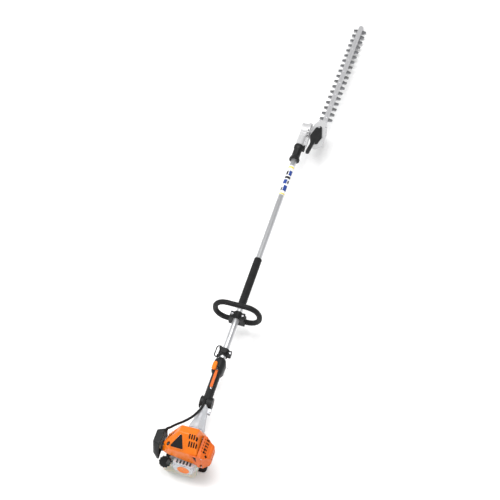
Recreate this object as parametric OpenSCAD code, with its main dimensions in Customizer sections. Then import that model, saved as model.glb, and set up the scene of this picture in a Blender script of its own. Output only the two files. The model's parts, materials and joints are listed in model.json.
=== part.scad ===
// Pole hedge trimmer with a two-stroke engine, a straight shaft and an adjustable double-sided cutter.
// Millimetres. The machine lies on the floor on its foot and on the end of its cutter:
// +X runs along the shaft towards the cutter, +Z is up, the muffler is on the -Y side.
// The origin is on the floor under the cylinder, and the shaft is level above it.

/* [Shaft] */
// Height of the shaft's axis above the floor
shaft_h = 118; // [112:1:126]
// Outer diameter of the shaft tube
tube_d = 25.4; // [25.4:0.1:25.4]
// Wall of the shaft tube
tube_wall = 1.5; // [1.2:0.1:1.6]
// Distance from the cylinder to the cutter's tilt axis
pivot_x = 1620; // [1560:5:1700]
// Diameter of the drive shaft inside the tube
drive_d = 8; // [7:0.5:8]

/* [Cutter] */
// Distance of the cutter's centre line from the shaft's axis
blade_side = 66; // [66:1:66]
// Spacing of the teeth
tooth_pitch = 36.7; // [34:0.1:36.7]
// Number of teeth along each side
tooth_count = 18; // [12:1:18]
// Length of a tooth
tooth_len = 19; // [14:1:20]
// Width of the guide bar
bar_w = 21; // [18:1:21]
// Thickness of one blade
blade_t = 3; // [2.5:0.1:3]
// Travel of each blade to either side of the middle
stroke = 8.5; // [6:0.5:8.5]

/* [Handles] */
// Diameter of the grip hose
hose_d = 33; // [30:1:36]
// Length of the grip hose
hose_len = 246; // [200:1:250]
// Width of the loop handle, over the tube
loop_w = 208; // [204:2:216]
// Height of the loop handle above the shaft's axis
loop_h = 98; // [94:1:104]
// Diameter of the loop handle's tube
loop_d = 22; // [20:0.5:22]
// Width of the control handle's grip
grip_w = 31; // [30:1:33]

/* [Engine] */
// Diameter of the cylinder bore
bore_d = 34; // [30:1:34]
// Crank radius, half the piston's stroke
crank_r = 14; // [13:0.5:14]
// Wall of the plastic covers
cover_wall = 3; // [2.5:0.1:3]
// Diameter of the flywheel
flywheel_d = 68; // [60:1:68]
// Diameter of the fuel cap
cap_d = 46; // [42:1:46]

/* [Hidden] */
$fn = 48;

// Clearances: between moving faces, and inside a running fit
gap = 0.4;
fit = 0.05;
eps = 0.01;

// Radii worked out from the diameters above
tube_r = tube_d / 2;
tube_in = tube_r - tube_wall;
drive_r = drive_d / 2;
hose_r = hose_d / 2;
bore_r = bore_d / 2;
flywheel_r = flywheel_d / 2;

// Stations along the shaft
tube_x1 = 134;
handle_x = 170;
handle_x2 = 380;
ring_x = 425;
loop_x = 606;
hose_x = 655;
label_x1 = 1244;
label_x2 = 1409;
sleeve_x = 1446;
neck_x1 = 1530;
neck_x2 = pivot_x - 39;

// Engine stations: crankcase, flywheel and clutch along X
case_r = 38;
case_l = 40;
front_l = 24;
web_x = 2;
fan_x1 = front_l;
fan_x2 = 46;
clutch_x = 56;
drum_x2 = 76;
drum_r = 25;
fan_r = 40;
housing_x2 = 166;
lug_x = 153;
deck_z = 42;
head_z = 84;
exhaust_z = 50;
starter_r = 40;
starter_x1 = -70;
pod_x1 = -98;
rope_x = -58;
side_y = -49;

// Heights in the cutter head, measured from the tilt axis
gear_top = -9.4;
floor_z = -15.8;
floor_t = 4.2;
upper_z = floor_z - floor_t - gap - blade_t;
lower_z = upper_z - gap - blade_t;
plate_z = lower_z - gap;
plate_t = 3.8;
head_low = plate_z - plate_t;

// The cutter: its first tooth, its length and the guide screws
tooth_x0 = 121;
bar_x1 = 84;
bar_x2 = tooth_x0 + tooth_pitch * (tooth_count - 0.4);
screw_pitch = 80;
screw_x0 = tooth_x0 + 8;
screw_count = floor((bar_x2 - 20 - screw_x0) / screw_pitch) + 1;
blade_x2 = bar_x2 - 10;
shoe_z = head_low + 2;
spine_w = bar_w - 1;

// Adjusting lever: its grip end and the end that sits in the cover
lever_end = [-147, -50];
lever_root = [-84, -57];

// Rest tilt: the end of the cutter just meets the floor
reach = bar_x2 + bar_w / 2;
rest_tilt = asin((shaft_h - 0.2) / norm([reach, shoe_z])) - atan2(-shoe_z, reach);

// Lean of the stop switch towards the thumb
thumb_lean = 22;

// Gears: teeth of the two pinions, the crown wheel and the crank gear
pinion_n = 12;
crown_n = 20;
crank_n = 30;
crank_gear_r = 24;
ecc_r = 8;
boss_r = 14;
quad_r = 38;
notch_step = 20;

// Throttle conduit: its route from the handle to the shroud, and its radius
conduit_r = 5;
conduit_route = [
    [190, 4, 17.4], [178, 4, 17.4], [165, 4, 21.8], [146, 7, 24], [128, 13, 27], [109, 21, 30],
    [90, 31, 35], [64, 50, 42], [38, 73, 50], [16, 88, 59], [5, 96, 65], [0, 98.5, 59.5]
];

// ---- helpers -------------------------------------------------------------

module on_axis() { translate([0, 0, shaft_h]) children(); }

module in_head() { translate([pivot_x, 0, shaft_h]) rotate([0, rest_tilt, 0]) children(); }

module x_cyl(r, x1, x2) { translate([x1, 0, 0]) rotate([0, 90, 0]) cylinder(r = r, h = x2 - x1); }

module y_cyl(r, y1, y2) { translate([0, y1, 0]) rotate([-90, 0, 0]) cylinder(r = r, h = y2 - y1); }

module z_cyl(r, z1, z2) { translate([0, 0, z1]) cylinder(r = r, h = z2 - z1); }

module x_tube(r_out, r_in, x1, x2) {
    difference() {
        x_cyl(r_out, x1, x2);
        x_cyl(r_in, x1 - 1, x2 + 1);
    }
}

module box(x1, x2, y1, y2, z1, z2) { translate([x1, y1, z1]) cube([x2 - x1, y2 - y1, z2 - z1]); }

// Rectangle with exact round corners, centred
module round_rect(w, h, r) {
    square([w - 2 * r, h], center = true);
    square([w, h - 2 * r], center = true);
    for (x = [-1, 1], y = [-1, 1]) translate([x * (w / 2 - r), y * (h / 2 - r)]) circle(r);
}

// Bar with round ends, from one point to the other
module round_bar(p, q, r) {
    d = q - p;
    translate(p) circle(r);
    translate(q) circle(r);
    translate(p) rotate(atan2(d[1], d[0])) translate([0, -r]) square([norm(d), 2 * r]);
}

// Blob through a list of corners, each a ball
module blob(corners, r) { hull() for (c = corners) translate(c) sphere(r, $fn = 28); }

// Tube swept along a route, one ring of points at each step of a smooth curve
function curve_point(p, i, t) =
    let (n = len(p) - 1, a = p[max(i - 1, 0)], b = p[i], c = p[min(i + 1, n)], d = p[min(i + 2, n)])
    0.5 * (2 * b + (c - a) * t + (2 * a - 5 * b + 4 * c - d) * t * t
        + (3 * b - a - 3 * c + d) * t * t * t);
function curve(p, steps) = concat(
    [for (i = [0 : len(p) - 2], k = [0 : steps - 1]) curve_point(p, i, k / steps)], [p[len(p) - 1]]);
function unit(v) = v / norm(v);
function heading(p, i) = unit(p[min(i + 1, len(p) - 1)] - p[max(i - 1, 0)]);
function ring(c, dir, r, n) =
    let (side = unit(cross(dir, [0, 0, 1])), up = cross(side, dir))
    [for (k = [0 : n - 1]) c + r * (cos(360 * k / n) * side + sin(360 * k / n) * up)];

module swept_tube(route, r, steps, n) {
    path = curve(route, steps);
    last = len(path) - 1;
    points = [for (i = [0 : last]) each ring(path[i], heading(path, i), r, n)];
    sides = [for (i = [0 : last - 1], k = [0 : n - 1])
        [i * n + k, i * n + (k + 1) % n, (i + 1) * n + (k + 1) % n, (i + 1) * n + k]];
    start = [for (k = [0 : n - 1]) n - 1 - k];
    end = [for (k = [0 : n - 1]) last * n + k];
    polyhedron(points, concat([start], sides, [end]), convexity = 4);
}

// Toothed wheel with its axis along Z and straight-sided teeth
module spur(r_root, r_tip, n, w, h) {
    cylinder(r = r_root, h = h);
    for (i = [0 : n - 1]) rotate(360 * i / n) translate([0, -w / 2, 0]) cube([r_tip, w, h]);
}

// Ring of teeth standing on a face, axis along Z
module face_teeth(r1, r2, n, w, h) {
    for (i = [0 : n - 1]) rotate(360 * (i + 0.5) / n) translate([r1, -w / 2, 0]) cube([r2 - r1, w, h]);
}

// ---- engine covers -------------------------------------------------------

shroud_corners = [
    [14, -26, 93], [12, 36, 95], [-17, 36, 107], [-17, -23, 106],
    [-66, -41, 56], [-65, 60, 56], [-67, -41, -12], [-66, 62, 12.5],
    [40, -41, 12], [48, 54, 18], [18, -40, 53], [26, 46, 60],
    [-60, 88, 18], [6, 86, 12], [-48, 88.5, 44], [-10, 86, 33.5]
];

// Places an outline on the shroud's sloping back, from one depth to another
module cap_plane(z1, z2) {
    translate([-29.7, 0, 103.7]) rotate([0, -45, 0]) translate([0, 0, z1]) linear_extrude(z2 - z1)
        children();
}

// Three-cornered outline of the spark plug cap, grown by a margin
module cap_outline(margin) {
    hull() for (p = [[2, 28], [-46, 16], [-46, 56]]) translate(p) circle(4 + margin, $fn = 32);
}

module engine_shroud() {
    color("darkorange") on_axis() difference() {
        blob(shroud_corners, 8);
        blob(shroud_corners, 8 - cover_wall);
        shroud_opening();
        x_cyl(fan_r + gap, 18, 90);
        rear_casing(gap);
        for (row = [0, 1], i = [0 : 3])
            translate([-32 - 22 * row, -8 - 9.2 * i - 4 * row, 60]) cube([17, 5.4, 60]);
        for (i = [0 : 2]) translate([-22 - 4 * i, 62 + 8 * i, 40]) cube([18, 4, 60]);
        translate([-54, 72, 40]) z_cyl(7, 0, 60);
        cap_plane(-20, 20) cap_outline(gap);
        box(-56, 6, 80, 100, 10, 50);
        box(-26, 10, -60, -30, 30, 62);
    }
}

// The shroud is open below; its rear edge runs lower towards the muffler
module shroud_opening() {
    translate([-90, 0, 0]) rotate([90, 0, 90]) linear_extrude(180)
        polygon([[120, 16], [50, 10], [-40, -14], [-70, -14], [-70, -60], [120, -60]]);
    box(-56, 70, -70, 120, -30, 14);
}

// Outline of the muffler guard seen from above, drawn in by an inset
function guard_plan(t) = [
    [-79 + t, side_y + 1 + t], [18 - t, side_y + 1 + t], [14 - t, -64],
    [-6 - t, -98 + t], [-56 + t, -98 + t], [-79 + t, -72]
];

// The same guard seen along the shaft
function guard_side(t) = [
    [side_y + 1 + t, 68 - t], [-62, 66 - t], [-92 + t, 42 - t], [-101, 34], [-101, 0],
    [-92 + t, -14 + t], [side_y + 1 + t, -14 + t]
];

module guard_body(t) {
    intersection() {
        translate([0, 0, -40]) linear_extrude(120) polygon(guard_plan(t));
        translate([-100, 0, 0]) rotate([90, 0, 90]) linear_extrude(160) polygon(guard_side(t));
    }
}

module muffler_guard() {
    color("orangered") on_axis() difference() {
        guard_body(0);
        guard_body(cover_wall);
        box(-90, 60, side_y, -20, -30, 90);
        for (i = [0 : 4]) translate([-54 + 13 * i, -76, 30]) cube([8, 18, 60]);
        for (i = [0 : 3]) translate([-50 + 12 * i, -110, 4]) cube([7, 40, 20]);
        translate([-90, -76, -8]) cube([30, 16, 16]);
        box(-50, -6, -84, -58, -20, -10);
    }
}

module spark_plug_cap() {
    color([0.12, 0.12, 0.13]) on_axis() difference() {
        union() {
            cap_plane(-3, 1) cap_outline(0);
            plug_place() z_cyl(8, 6, 17);
            plug_place() z_cyl(3, 16, 38);
        }
        plug_place() z_cyl(5.3, 5, 15);
    }
}

module filter_housing() {
    color([0.16, 0.16, 0.17]) on_axis() difference() {
        box(-60, 8, 97, 103, -2, 56);
        translate([-26, 0, 27]) y_cyl(9, 90, 110);
    }
}

module air_filter_element() {
    color("ivory") on_axis() for (i = [0 : 9]) box(-54 + 5.7 * i, -51 + 5.7 * i, 103.4, 118, 4, 50);
    color("ivory") on_axis() box(-55, 1.3, 103.2, 106, 3, 51);
}

filter_corners = [
    [-74, 106, -8], [4, 106, 0], [-60, 106, 54], [0, 106, 54],
    [-70, 124, -2], [-6, 127, 6], [-52, 128, 48], [-6, 128, 48],
    [-84, 107, -10], [-84, 107, 6], [-80, 114, 2]
];

module air_filter_cover() {
    color([0.13, 0.13, 0.14]) on_axis() difference() {
        blob(filter_corners, 7);
        blob(filter_corners, 7 - cover_wall);
        box(-100, 30, 80, 103.4, -30, 80);
    }
}

// ---- fuel and air --------------------------------------------------------

module carburettor() {
    color("silver") on_axis() difference() {
        union() {
            box(-46, -8, 54, 90, 8, 38);
            translate([-26, 0, 27]) y_cyl(13, 50, 96.6);
            translate([-36, 62, 38]) z_cyl(5, -1, 6);
            box(-52, -45, 60, 74, 14, 30);
        }
        translate([-26, 0, 27]) y_cyl(8, 40, 100);
    }
}

module intake_flange() {
    color([0.2, 0.2, 0.22]) on_axis() difference() {
        union() {
            box(-41, -11, 37, 42, 12, 42);
            translate([-26, 0, 27]) y_cyl(12, 41, 49.8);
        }
        translate([-26, 0, 27]) y_cyl(8, 30, 60);
    }
}

module choke_lever() {
    color([0.12, 0.12, 0.13]) on_axis() translate([-50, 83, -2]) {
        rotate([0, 90, 0]) cylinder(r = 6, h = 8, center = true);
        rotate([0, 90, 0]) linear_extrude(5, center = true) polygon([[-3, 3], [3, -3], [14, 10], [9, 16]]);
    }
}

module primer_bulb() {
    color([0.15, 0.15, 0.16]) on_axis() translate([-66, 70, -4]) rotate([0, -90, 0]) {
        z_cyl(9, 0, 3);
        intersection() {
            translate([0, 0, 3]) sphere(8);
            z_cyl(9, 2, 12);
        }
    }
}

tank_corners = [
    [-72, -26, -96.8], [24, -26, -96.8], [-72, 76, -96.8], [24, 76, -96.8],
    [-60, -26, -79], [24, -26, -79], [-60, 76, -79], [24, 76, -79]
];

// Axis of the filler neck, leaning back
module cap_place() { translate([-66, 82, -62]) rotate([0, -38, 0]) children(); }

module fuel_tank() {
    color([0.9, 0.9, 0.88]) on_axis() difference() {
        union() {
            blob(tank_corners, 17);
            cap_place() z_cyl(17, -8, 16);
        }
        blob(tank_corners, 14);
        cap_place() z_cyl(13, -20, 17);
    }
}

module fuel_cap() {
    color([0.1, 0.1, 0.11]) on_axis() cap_place() {
        z_cyl(13 - fit, 4, 16.4);
        z_cyl(cap_d / 2 - 2, 16.4, 30);
        for (i = [0 : 5]) rotate(30 * i) translate([-cap_d / 2, -2.5, 17.4]) cube([cap_d, 5, 11]);
    }
}

// ---- recoil starter ------------------------------------------------------

// Outer form of the grey casing behind the engine: a drum for the starter and a pod below it
module rear_casing(margin) {
    x_cyl(starter_r + margin, starter_x1 - margin, -42);
    intersection() {
        rotate([90, 0, 90]) translate([0, 0, pod_x1]) linear_extrude(-42 - pod_x1) polygon([
            [-36 - margin, -8 + margin], [44 + margin, -2 + margin], [44 + margin, -40],
            [32, -61 - margin], [-24, -61 - margin], [-36 - margin, -46]
        ]);
        rotate([90, 0, 0]) translate([0, 0, -60]) linear_extrude(120) polygon([
            [-40, 10], [-84 - margin, 10], [pod_x1 - margin, -16], [pod_x1 - margin, -70], [-40, -70]
        ]);
    }
}

module starter_housing() {
    color([0.72, 0.72, 0.73]) on_axis() difference() {
        rear_casing(0);
        x_cyl(starter_r - cover_wall, starter_x1 + 3, -50);
        x_cyl(case_r + fit, -51, -40);
        x_cyl(4 + fit, starter_x1 - 1, -40);
        box(pod_x1 + 4, -50, -30, 38, -60, -14);
        for (i = [0 : 4]) box(pod_x1 + 8, pod_x1 + 26, -26 + 13 * i, -19 + 13 * i, -20, 0);
        translate([-84, 52, -15]) rotate([20, 0, 30]) y_cyl(3, -20, 4);
    }
}

module starter_badge() {
    color("darkorange") on_axis() translate([pod_x1 - 1.6, 2, -36]) rotate([0, 90, 0]) difference() {
        z_cyl(24, 0, 1.6);
        z_cyl(3, -1, 3);
    }
}

module starter_pulley() {
    color([0.25, 0.25, 0.27]) on_axis() difference() {
        union() {
            x_cyl(4, starter_x1 + 0.5, -46);
            x_cyl(34, rope_x - 6.5, rope_x - 3.5);
            x_cyl(34, rope_x + 3.5, rope_x + 6.5);
            x_cyl(30, rope_x - 3.5, rope_x + 3.5);
            x_cyl(12, rope_x + 6, -46);
        }
        for (i = [0 : 2]) rotate([120 * i, 0, 0]) translate([0, 0, 21]) x_cyl(5, -100, -40);
    }
}

module starter_grip() {
    color([0.1, 0.1, 0.11]) on_axis() translate([-84, 52, -15]) rotate([20, 0, 30]) {
        y_cyl(1.8, -12, 2);
        translate([0, 6, 0]) rotate([0, 90, 0]) linear_extrude(12, center = true) round_rect(9, 9, 3);
        translate([0, 12, 0]) cylinder(r = 6, h = 32, center = true);
    }
}

// ---- engine block --------------------------------------------------------

module crankcase_shell(side) {
    far = side < 0 ? case_l : front_l;
    half = side < 0 ? 28 : front_l;
    difference() {
        union() {
            x_cyl(case_r, side < 0 ? -far : 0, side < 0 ? 0 : far);
            box(side < 0 ? -half : 0, side < 0 ? 0 : half, -28, 28, 20, deck_z);
            box(side < 0 ? -34 : 0, side < 0 ? 0 : far, -24, 24, -61.8, -20);
            if (side < 0) box(-39, -12, 20, 37, 14, 40);
        }
        x_cyl(31, -30, 12);
        x_cyl(11, 0, 50);
        if (side < 0) translate([-26, 0, 27]) y_cyl(8, 18, 40);
        z_cyl(bore_r + 2, 0, deck_z + 1);
    }
}

module crankcase_rear() { color([0.6, 0.6, 0.62]) on_axis() crankcase_shell(-1); }

module crankcase_front() { color([0.6, 0.6, 0.62]) on_axis() crankcase_shell(1); }

module crank_bearings() {
    color("silver") on_axis() for (x = [12.4, 18.4]) x_tube(11, 6 + fit, x, x + 5.4);
}

module crankshaft() {
    color([0.55, 0.55, 0.58]) on_axis() difference() {
        union() {
            x_cyl(6, web_x, clutch_x + 12);
            x_cyl(26, web_x, web_x + 8);
            translate([0, 0, crank_r]) x_cyl(5, -4, web_x + 1);
        }
        translate([0, 0, crank_r]) for (a = [-1, 1]) translate([0, 17 * a, 0]) x_cyl(5, -1, 30);
    }
}

module connecting_rod() {
    color([0.62, 0.62, 0.64]) on_axis() translate([-4 - gap - 7, 0, crank_r]) difference() {
        union() {
            x_cyl(9, 0, 7);
            translate([0, 0, 50]) x_cyl(6, 0, 7);
            box(1, 6, -4, 4, 4, 46);
        }
        x_cyl(5, -1, 8);
        translate([0, 0, 50]) x_cyl(3.5 + fit, -1, 8);
    }
}

module piston() {
    color([0.75, 0.75, 0.77]) on_axis() {
        difference() {
            z_cyl(bore_r - fit, 54, 73.5);
            z_cyl(bore_r - 3, 53, 70);
        }
        translate([0, 0, crank_r + 50]) x_cyl(3.5, -bore_r + 2.5, bore_r - 2.5);
    }
}

module cylinder_body() {
    color([0.7, 0.7, 0.72]) on_axis() difference() {
        union() {
            z_cyl(bore_r + 5, deck_z, head_z);
            for (i = [0 : 5]) translate([0, 0, deck_z + 3 + 6 * i]) linear_extrude(2.2)
                round_rect(50 - i, 54 - i, 8);
            box(-16, 16, -42, -14, 44, 57);
            plug_place() z_cyl(8, -8, 0);
        }
        z_cyl(bore_r, deck_z - 1, head_z - 5);
        translate([0, 0, exhaust_z]) rotate([90, 0, 0]) cylinder(r = 5, h = 50);
        plug_place() z_cyl(5.2, -20, 10);
        plug_place() z_cyl(9.4, 0, 30);
    }
}

// Axis of the spark plug, leaning back and to the left
module plug_place() { translate([-15, 11, 80]) rotate([0, 78, 144]) children(); }

module spark_plug() {
    color("white") on_axis() plug_place() {
        z_cyl(5.2, -4, 0);
        z_cyl(6.2, 0, 3.5);
        z_cyl(4, 3, 12);
        z_cyl(2, 11, 14.8);
    }
}

module ignition_module() {
    color([0.18, 0.18, 0.2]) on_axis() box(fan_x1 + 4, fan_x1 + 12, -16, 16, flywheel_r + 1, flywheel_r + 5);
}

module flywheel() {
    color([0.5, 0.5, 0.52]) on_axis() {
        difference() {
            x_cyl(flywheel_r, fan_x1 + 5, fan_x1 + 11);
            x_cyl(6, fan_x1, fan_x1 + 20);
        }
        for (i = [0 : 17]) rotate([20 * i, 0, 0])
            box(fan_x1 + 10, fan_x2 - 4, -1.2, 1.2, 16, flywheel_r - 2);
    }
}

// ---- muffler, clutch and engine front ------------------------------------

module muffler() {
    color([0.45, 0.44, 0.43]) on_axis() difference() {
        union() {
            translate([-22, -68, 16]) rotate([0, 90, 0]) linear_extrude(42, center = true)
                round_rect(48, 24, 8);
            box(-14, 8, -66, -56, 20, exhaust_z + 1);
            translate([0, 0, exhaust_z]) y_cyl(7.5, -60, -42.2);
        }
        translate([-22, -68, 16]) rotate([0, 90, 0]) linear_extrude(38, center = true)
            round_rect(44, 20, 6);
        box(-12, 6, -64, -58, 30, exhaust_z - 2);
        translate([0, 0, exhaust_z]) y_cyl(5, -62, -40);
        translate([-60, -68, 4]) x_cyl(5, 0, 20);
    }
}

module fan_housing() {
    color([0.68, 0.68, 0.7]) on_axis() difference() {
        x_cyl(fan_r, fan_x1, fan_x2);
        x_cyl(fan_r - 4, fan_x1 + 3, fan_x2 + 1);
        x_cyl(12, fan_x1 - 1, fan_x1 + 4);
        box(fan_x1 - 1, fan_x2 - 4, -17, 17, flywheel_r, fan_r + 4);
        for (i = [0 : 11]) rotate([30 * i + 15, 0, 0]) translate([0, 0, 26]) x_cyl(4, 20, fan_x1 + 6);
    }
}

module clutch_shoes() {
    color([0.42, 0.4, 0.38]) on_axis() difference() {
        x_cyl(drum_r - 4.5, clutch_x, clutch_x + 12);
        x_cyl(drum_r - 10, clutch_x - 1, clutch_x + 3);
        x_cyl(6, clutch_x - 1, clutch_x + 20);
        for (i = [0 : 2]) rotate([120 * i, 0, 0]) box(clutch_x - 1, clutch_x + 8, -1.5, 1.5, 10, 30);
    }
}

module clutch_drum() {
    color([0.5, 0.5, 0.52]) on_axis() {
        difference() {
            x_cyl(drum_r, clutch_x - 2, drum_x2);
            x_cyl(drum_r - 3, clutch_x - 3, drum_x2 - 4);
            for (i = [0 : 5]) rotate([60 * i, 0, 0]) translate([0, 0, 15]) x_cyl(3, 60, 120);
        }
        x_cyl(6, drum_x2 - 1, tube_x1 - 4);
    }
}

module clutch_housing() {
    color([0.78, 0.78, 0.79]) on_axis() difference() {
        union() {
            x_cyl(fan_r, fan_x2 + eps, fan_x2 + 6);
            rotate([0, 90, 0]) rotate_extrude() polygon([
                [0, fan_x2 + 5], [31, fan_x2 + 5], [29.5, 80], [22, 110], [19.5, 140],
                [17, housing_x2], [0, housing_x2]
            ]);
            box(142, 164, -30, -14, -8, 8);
        }
        x_cyl(drum_r + 2, fan_x2 - 1, drum_x2 + 3);
        x_cyl(11, drum_x2, 130);
        x_cyl(tube_r, 130, housing_x2 + 1);
        translate([lug_x, -26, 0]) z_cyl(2.6, -12, 12);
        box(130, 180, -40, -10, -1, 1);
    }
}

module clutch_bearing() { x_tube(11, 6 + fit, 112, 124); }

module support_foot() {
    color([0.12, 0.12, 0.13]) difference() {
        union() {
            linear_extrude(4) translate([12, -2]) round_rect(120, 136, 14);
            for (y = [-30, 22]) box(43, 54, y, y + 8, 3, shaft_h - 24);
            box(43, 54, -30, 30, 3, 9);
        }
        on_axis() x_cyl(fan_r + eps, 0, 100);
    }
}

// ---- shaft ---------------------------------------------------------------

module throttle_conduit() {
    color([0.08, 0.08, 0.09]) on_axis() swept_tube(conduit_route, conduit_r, 3, 10);
}

module shaft_tube() { color([0.86, 0.86, 0.87]) on_axis() x_tube(tube_r, tube_in, tube_x1, neck_x2); }

module drive_shaft() {
    color([0.6, 0.6, 0.62]) on_axis() {
        x_cyl(drive_r, tube_x1 - 4, pivot_x - 12);
        translate([pivot_x - 17.5, 0, 0]) rotate([0, 90, 0]) spur(6.2, 8.6, pinion_n, 1.3, 5.7);
    }
}

module shaft_bushes() {
    color([0.9, 0.88, 0.8]) on_axis() for (i = [0 : 4])
        x_tube(tube_in, drive_r + fit, 200 + 320 * i, 222 + 320 * i);
    color([0.9, 0.88, 0.8]) on_axis() clutch_bearing();
}

module label_sleeve() {
    color([0.93, 0.93, 0.92]) on_axis() x_tube(tube_r + 0.25, tube_r, label_x1, label_x2);
}

module hose_grip() {
    color([0.1, 0.1, 0.11]) on_axis() x_tube(hose_r, tube_r, hose_x, hose_x + hose_len);
}

// ---- control handle ------------------------------------------------------

// Outline of the whole handle, seen from the side, before it is split
module handle_solid() {
    difference() {
        union() {
            x_cyl(grip_w / 2 + 2, handle_x + 4, handle_x2);
            translate([handle_x + 22, 0, -6]) rotate([90, 0, 0]) cylinder(r = 25, h = 50, center = true);
            translate([0, 0, -7]) x_cyl(grip_w / 2 - 1, handle_x + 4, 330);
            blob([[334, 0, 10], [371, 0, 12], [340, 0, -12], [368, 0, -14]], 24);
        }
        x_cyl(tube_r, handle_x - 30, 460);
        box(handle_x - 30, handle_x - 2, -60, 60, -60, 60);
        translate([0, 4, 17.4]) x_cyl(conduit_r + 0.6, handle_x - 30, handle_x + 24);
        blob([[338, 0, 8], [368, 0, 8], [344, 0, -12], [364, 0, -12]], 18);
        box(282, 346, -6, 6, -60, -tube_r);
        box(246, 340, -6, 6, tube_r, 60);
        rotate([-thumb_lean, 0, 0]) box(324, 362, -9, 9, 20, 60);
    }
}

module handle_left() {
    color([0.11, 0.11, 0.12]) on_axis() intersection() {
        handle_solid();
        box(100, 500, 0.05, 80, -80, 80);
    }
}

module handle_right() {
    color([0.14, 0.15, 0.16]) on_axis() intersection() {
        handle_solid();
        box(100, 500, -80, -0.05, -80, 80);
    }
}

module throttle_trigger() {
    color("orangered") on_axis() translate([338, 0, -24]) rotate([90, 0, 0])
        linear_extrude(10.8, center = true) difference() {
            union() {
                round_bar([0, 0], [-18, -14], 5);
                round_bar([-18, -14], [-44, -16], 4);
            }
            circle(2);
        }
}

module trigger_lockout() {
    color("orangered") on_axis() translate([328, 0, 22]) rotate([90, 0, 0])
        linear_extrude(10.8, center = true) difference() {
            polygon([[3, -2], [3, 2], [-2, 3.6], [-30, 4], [-74, 2.6], [-77, 0], [-76, -3], [-2, -3.4]]);
            circle(1.3);
        }
}

module stop_switch() {
    color("darkorange") on_axis() rotate([-thumb_lean, 0, 0]) translate([343, 0, 30]) linear_extrude(9)
        round_rect(36, 16.8, 5);
}

// ---- carrying ring and loop handle ---------------------------------------

module ring_clamp() {
    color([0.1, 0.1, 0.11]) on_axis() difference() {
        union() {
            x_cyl(18, ring_x - 17, ring_x + 17);
            translate([ring_x, 0, 0]) z_cyl(12, 10, 26);
            for (x = [-1, 1]) translate([ring_x + 19 * x, 20, 4]) x_cyl(5.5, -4, 4);
            for (x = [-1, 1]) box(ring_x + 19 * x - 4, ring_x + 19 * x + 4, 8, 20, -1, 9);
            box(ring_x - 23, ring_x + 23, 10, 17, -1, 9);
            box(ring_x - 13, ring_x + 13, -30, -12, -9, 9);
        }
        x_cyl(tube_r, ring_x - 30, ring_x + 30);
        box(ring_x - 30, ring_x + 30, -40, -10, -1, 1);
        translate([ring_x, 20, 4]) x_cyl(ring_wire + fit, -40, 40);
        translate([ring_x, -25, 0]) z_cyl(2.6, -20, 20);
    }
}

module carrying_ring() {
    color([0.2, 0.2, 0.21]) on_axis() translate([ring_x, 20, 4]) {
        x_cyl(ring_wire, -ring_bow, ring_bow);
        for (s = [-1, 1]) translate([s * ring_bow, 0, 0]) sphere(ring_wire);
        for (s = [-1, 1]) translate([s * ring_bow, 0, 0]) y_cyl(ring_wire, 0, 4);
        for (s = [-1, 1]) translate([s * (ring_bow - 11), 4, 0]) rotate(s < 0 ? 90 : 0)
            rotate_extrude(angle = 90) translate([11, 0]) circle(ring_wire);
        translate([0, 15, 0]) x_cyl(ring_wire, -ring_bow + 11, ring_bow - 11);
    }
}

loop_r = loop_d / 2;
arc_r = 52;
loop_low = -25;
ring_wire = 2.5;
ring_bow = 26;

// A quarter ring of the loop handle's tube, in the plane across the shaft
module loop_corner(y, z, a) {
    translate([loop_x, y, z]) rotate([0, -90, 0]) rotate(a) rotate_extrude(angle = 90)
        translate([arc_r, 0]) circle(loop_r);
}

module loop_handle() {
    half = loop_w / 2 - loop_r;
    top = loop_h - loop_r;
    color([0.09, 0.09, 0.1]) on_axis() {
        translate([loop_x, 0, top]) y_cyl(loop_r, -half + arc_r, half - arc_r);
        for (s = [-1, 1]) translate([loop_x, s * half, 0]) z_cyl(loop_r, arc_r + loop_low, top - arc_r);
        for (s = [-1, 1]) translate([loop_x, 0, loop_low]) y_cyl(loop_r, s < 0 ? -half + arc_r : 24,
            s < 0 ? -24 : half - arc_r);
        loop_corner(half - arc_r, top - arc_r, 0);
        loop_corner(half - arc_r, arc_r + loop_low, 90);
        loop_corner(-half + arc_r, arc_r + loop_low, 180);
        loop_corner(-half + arc_r, top - arc_r, 270);
    }
}

module loop_clamp() {
    color([0.12, 0.12, 0.13]) on_axis() difference() {
        union() {
            x_cyl(19, loop_x - 17, loop_x + 17);
            box(loop_x - 15, loop_x + 15, -30, 30, -6, 12);
            box(loop_x - 15, loop_x + 15, -34, 34, -40, -5);
        }
        x_cyl(tube_r, loop_x - 30, loop_x + 30);
        for (s = [-1, 1]) translate([loop_x, 22 * s, 0]) z_cyl(2.6, -16, 20);
        for (s = [-1, 1]) translate([loop_x, 0, loop_low]) y_cyl(loop_r, s < 0 ? -40 : 20, s < 0 ? -20 : 40);
    }
}

module cap_screw(r_head, h_head, r, l) {
    difference() {
        z_cyl(r_head, 0, h_head);
        translate([0, 0, h_head - 2]) cylinder(r = r_head * 0.5, h = 3, $fn = 6);
    }
    z_cyl(r, -l, eps);
}

module clamp_screws() {
    color("gainsboro") on_axis() {
        for (s = [-1, 1]) translate([loop_x, 22 * s, 12]) cap_screw(5, 4, 2.5, 24);
        translate([ring_x, -25, 9]) cap_screw(4.5, 4, 2.5, 18);
        translate([lug_x, -26, 8]) cap_screw(4, 4, 2.5, 16);
    }
}

// ---- lock and shaft gear housing -----------------------------------------

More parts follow.
